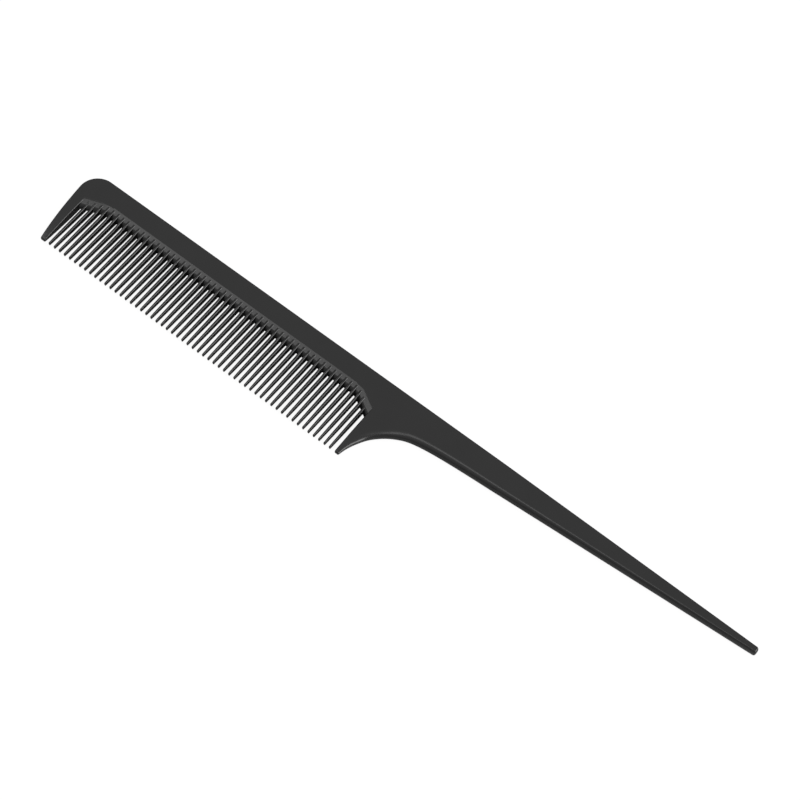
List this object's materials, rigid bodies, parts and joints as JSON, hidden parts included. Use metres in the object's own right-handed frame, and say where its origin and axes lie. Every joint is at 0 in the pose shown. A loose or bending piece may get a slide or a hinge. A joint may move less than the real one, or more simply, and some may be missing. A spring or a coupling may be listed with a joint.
{
  "type": "rat tail comb",
  "caption": "Flat hair comb with a fine-toothed head between two guard teeth and a long, slim tapering tail for parting and sectioning hair.",
  "frame": {"origin": "on the flat back face of the spine, at the middle of the tooth row and halfway across the spine's flat face", "axes": "+X along the spine towards the tail, +Y from the tooth tips towards the straight back edge, +Z out of the front face; the comb lies on its back on z = 0"},
  "size_m": [0.2253, 0.0257, 0.0035],
  "materials": {
    "comb_plastic": "black moulded plastic with a fine satin surface, slightly polished on edges and tooth crests"
  },
  "bodies": {
    "root": {"spine": "comb_plastic", "end_guard_tooth": "comb_plastic", "tail_guard_tooth": "comb_plastic", "tail": "comb_plastic", "tooth_01": "comb_plastic", "tooth_02": "comb_plastic", "tooth_03": "comb_plastic", "tooth_04": "comb_plastic", "tooth_05": "comb_plastic", "tooth_06": "comb_plastic", "tooth_07": "comb_plastic", "tooth_08": "comb_plastic", "tooth_09": "comb_plastic", "tooth_10": "comb_plastic", "tooth_11": "comb_plastic", "tooth_12": "comb_plastic", "tooth_13": "comb_plastic", "tooth_14": "comb_plastic", "tooth_15": "comb_plastic", "tooth_16": "comb_plastic", "tooth_17": "comb_plastic", "tooth_18": "comb_plastic", "tooth_19": "comb_plastic", "tooth_20": "comb_plastic", "tooth_21": "comb_plastic", "tooth_22": "comb_plastic", "tooth_23": "comb_plastic", "tooth_24": "comb_plastic", "tooth_25": "comb_plastic", "tooth_26": "comb_plastic", "tooth_27": "comb_plastic", "tooth_28": "comb_plastic", "tooth_29": "comb_plastic", "tooth_30": "comb_plastic", "tooth_31": "comb_plastic", "tooth_32": "comb_plastic", "tooth_33": "comb_plastic", "tooth_34": "comb_plastic", "tooth_35": "comb_plastic", "tooth_36": "comb_plastic", "tooth_37": "comb_plastic", "tooth_38": "comb_plastic", "tooth_39": "comb_plastic", "tooth_40": "comb_plastic", "tooth_41": "comb_plastic", "tooth_42": "comb_plastic", "tooth_43": "comb_plastic", "tooth_44": "comb_plastic", "tooth_45": "comb_plastic", "tooth_46": "comb_plastic", "tooth_47": "comb_plastic", "tooth_48": "comb_plastic", "tooth_49": "comb_plastic", "tooth_50": "comb_plastic", "tooth_51": "comb_plastic", "tooth_52": "comb_plastic", "tooth_53": "comb_plastic", "tooth_54": "comb_plastic", "tooth_55": "comb_plastic"}
  },
  "joints": []
}
